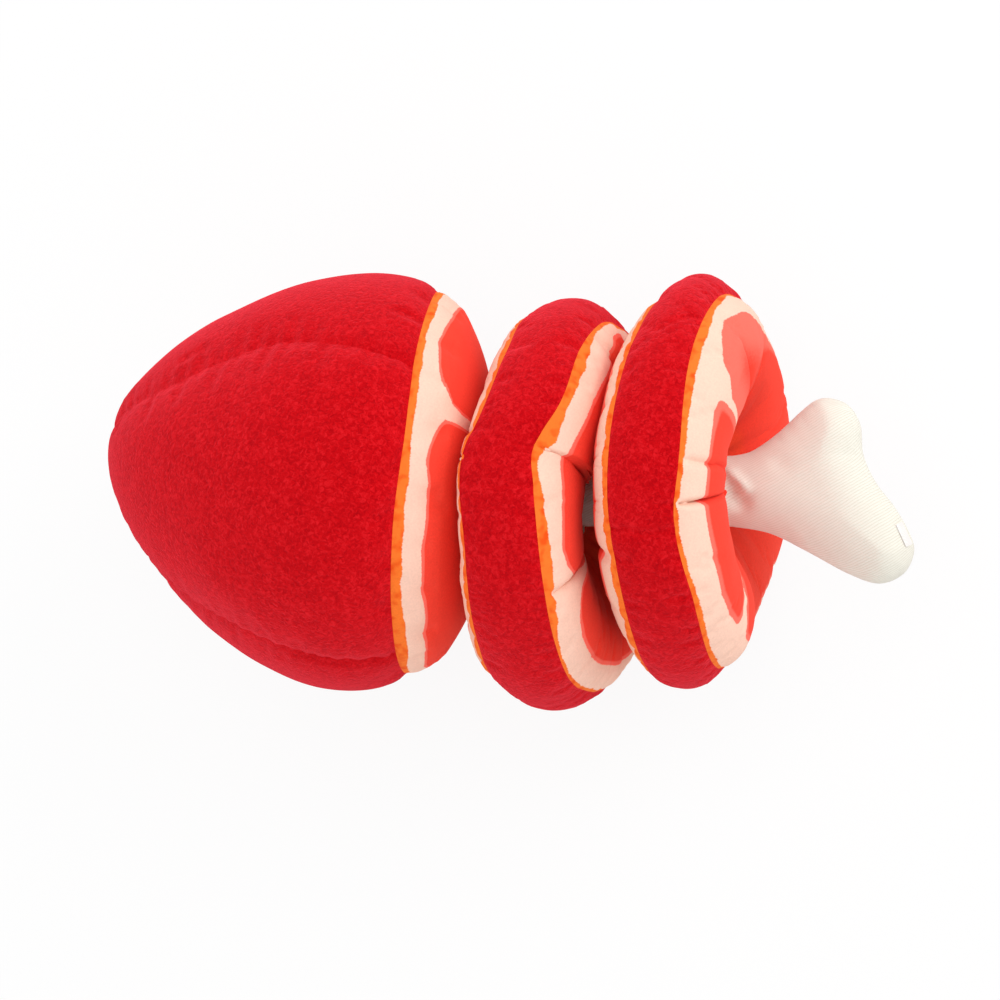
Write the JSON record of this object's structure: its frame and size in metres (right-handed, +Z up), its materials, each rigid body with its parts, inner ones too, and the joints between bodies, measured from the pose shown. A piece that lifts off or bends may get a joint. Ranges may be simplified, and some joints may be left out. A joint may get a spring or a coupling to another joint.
{
  "type": "squeaky dog toy",
  "caption": "Stuffed fleece ham toy with a printed cut face, a twill bone, and loose slices that slide and turn on the bone, with a squeaker sewn inside.",
  "frame": {"origin": "on the surface that the toy lies on, under the middle of the whole toy", "axes": "+X along the toy from the ham's tip to the bone's knuckle, +Z up"},
  "size_m": [0.2722, 0.1434, 0.1363],
  "materials": {
    "fleece": "matte",
    "printed_plush": "matte",
    "bone_twill": "matte",
    "lining_cloth": "matte",
    "fibre_fill": "matte",
    "label_tape": "satin",
    "squeaker_plastic": "satin",
    "reed_plastic": "satin"
  },
  "bodies": {
    "ham": {"ham_gore_top": "fleece", "ham_gore_left": "fleece", "ham_gore_right": "fleece", "ham_gore_under": "fleece", "ham_cut_face": "printed_plush", "ham_filling_upper": "fibre_fill", "ham_filling_lower": "fibre_fill", "squeaker_base": "squeaker_plastic", "squeaker_bellows": "squeaker_plastic", "reed_holder": "reed_plastic", "reed": "reed_plastic", "bone_cover_top": "bone_twill", "bone_cover_under": "bone_twill", "bone_shaft_filling": "fibre_fill", "bone_knuckle_filling": "fibre_fill", "bone_label": "label_tape"},
    "squeaker_top": {"squeaker_crown": "squeaker_plastic"},
    "slice_1_sleeve": {"slice_1_bore_lining": "lining_cloth"},
    "slice_1": {"slice_1_rim_band": "fleece", "slice_1_face_bone_side": "printed_plush", "slice_1_face_ham_side": "printed_plush", "slice_1_filling": "fibre_fill"},
    "slice_2_sleeve": {"slice_2_bore_lining": "lining_cloth"},
    "slice_2": {"slice_2_rim_band": "fleece", "slice_2_face_bone_side": "printed_plush", "slice_2_face_ham_side": "printed_plush", "slice_2_filling": "fibre_fill"}
  },
  "joints": [
    {"name": "squeaker_press", "type": "slide", "parent": "ham", "child": "squeaker_top", "axis": [0, 0, -1], "range_m": [0, 0.009], "stiffness_N_per_m": 900, "deforming": ["squeaker_bellows"]},
    {"name": "slice_1_slide", "type": "slide", "parent": "ham", "child": "slice_1_sleeve", "axis": [1, 0, 0], "range_m": [-0.006, 0.004]},
    {"name": "slice_1_turn", "type": "hinge", "parent": "slice_1_sleeve", "child": "slice_1", "pos_m": [0.01991, -0.00389, 0.06632], "axis": [0.9814, -0.06, 0.1822], "continuous": true},
    {"name": "slice_2_slide", "type": "slide", "parent": "ham", "child": "slice_2_sleeve", "axis": [1, 0, 0], "range_m": [-0.004, 0.007]},
    {"name": "slice_2_turn", "type": "hinge", "parent": "slice_2_sleeve", "child": "slice_2", "pos_m": [0.06371, 0.00381, 0.06632], "axis": [0.9832, 0.0086, 0.1822], "continuous": true}
  ]
}
